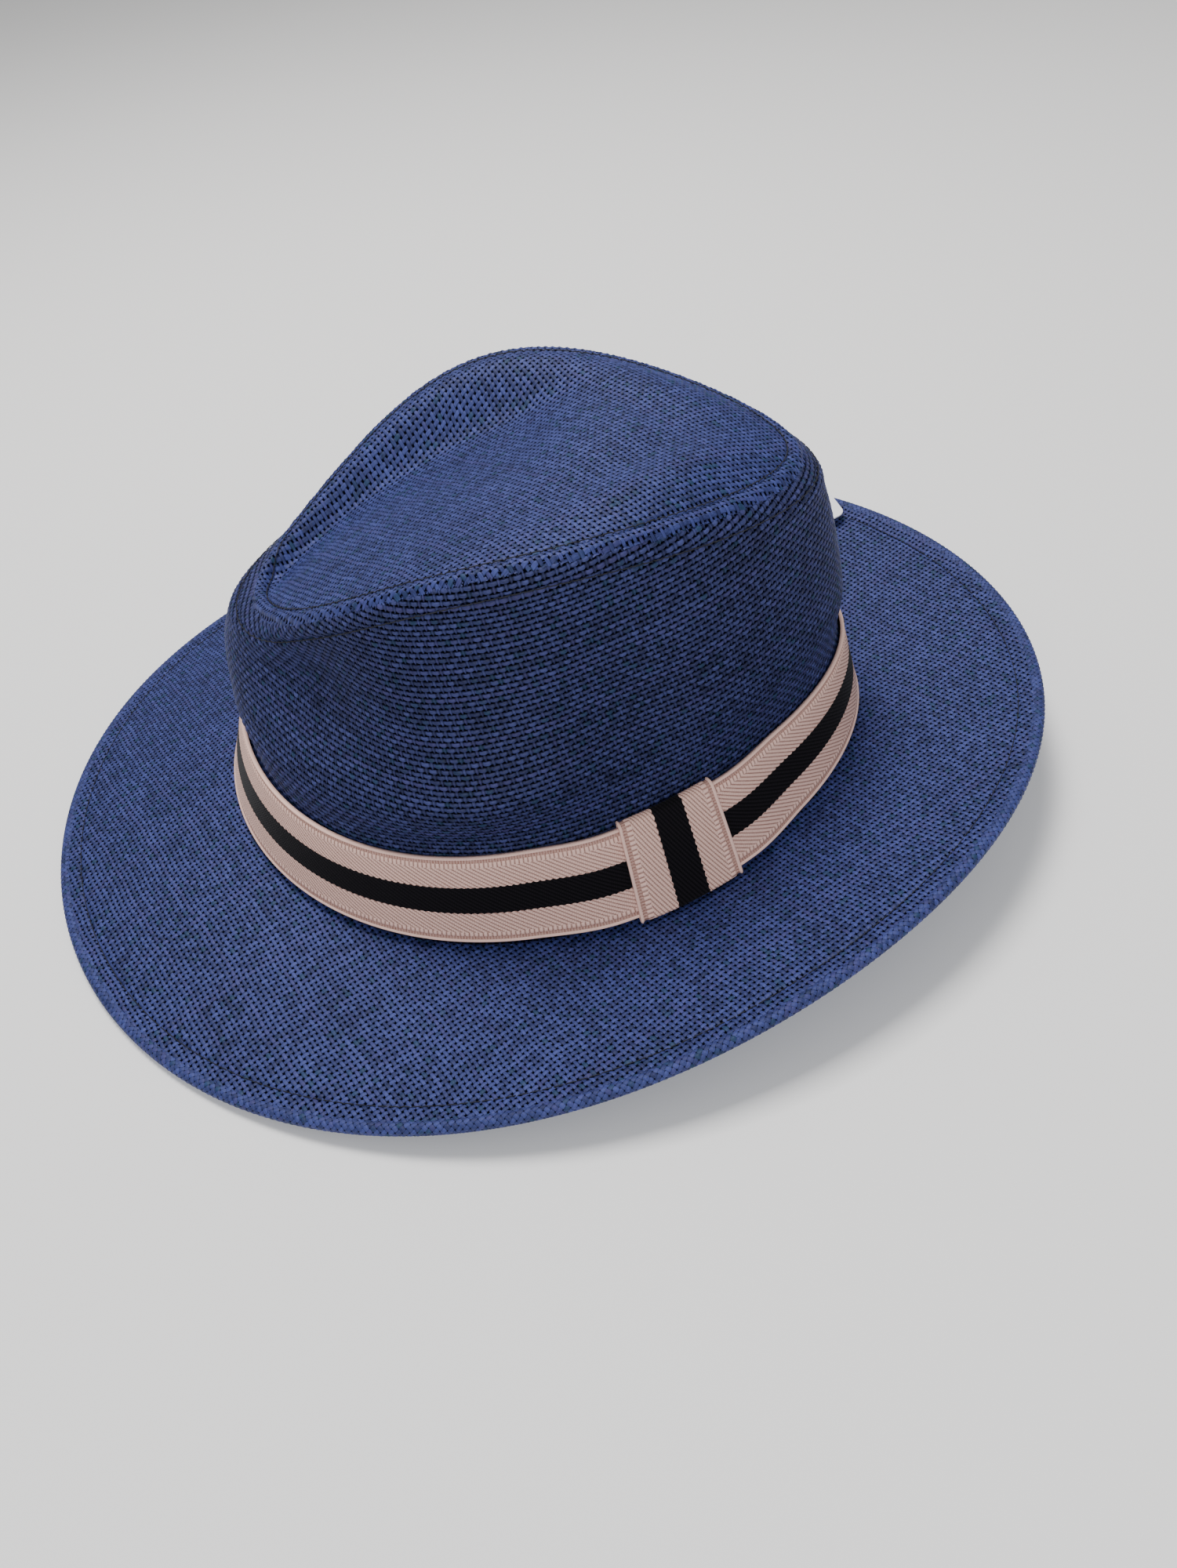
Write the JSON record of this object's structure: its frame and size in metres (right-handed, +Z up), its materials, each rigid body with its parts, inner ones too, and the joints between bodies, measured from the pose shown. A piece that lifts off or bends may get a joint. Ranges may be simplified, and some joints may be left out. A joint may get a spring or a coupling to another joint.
{
  "type": "fedora hat",
  "caption": "Woven straw fedora with pinched teardrop crown, wired brim, striped elastic hat band with keeper loop, and a blank swing tag that turns on its fastener.",
  "frame": {"origin": "centre of the head opening, level with the line where the brim leaves the crown", "axes": "+Z up out of the crown; -Y towards the front pinch; +X towards the wearer's left, where the band's keeper is"},
  "size_m": [0.2886, 0.3112, 0.1107],
  "materials": {
    "straw": "woven flat paper yarns, faint sheen",
    "wire": "drawn wire",
    "dark_thread": "spun thread",
    "tape": "plain woven binding",
    "sweatband": "ribbed grosgrain",
    "label": "blank satin",
    "webbing": "herringbone elastic webbing, beige with a black centre stripe",
    "beige_thread": "spun thread",
    "card": "smooth blank card",
    "clear_plastic": "moulded nylon"
  },
  "bodies": {
    "hat": {"brim": "straw", "brim_wire": "wire", "brim_hem_stitch": "dark_thread", "crown_side": "straw", "crown_tip": "straw", "tip_topstitch_upper": "dark_thread", "tip_topstitch_lower": "dark_thread", "tip_seam_stitch": "dark_thread", "tip_seam_tape": "tape", "back_seam_stitch": "dark_thread", "back_seam_tape": "tape", "crown_brim_stitch": "dark_thread", "sweatband": "sweatband", "sweatband_stitch": "dark_thread", "sweatband_join_stitch": "dark_thread", "inner_label": "label", "hat_band": "webbing", "band_join_stitch": "beige_thread", "band_keeper": "webbing", "keeper_stitch": "beige_thread", "tag_fastener": "clear_plastic"},
    "tag": {"swing_tag": "card"}
  },
  "joints": [
    {"name": "tag_swing", "type": "hinge", "parent": "hat", "child": "tag", "pos_m": [-0.07981, 0.0948, 0.01029], "axis": [0.1773, -0.2481, 0.9524], "range_deg": [-25, 25]}
  ]
}
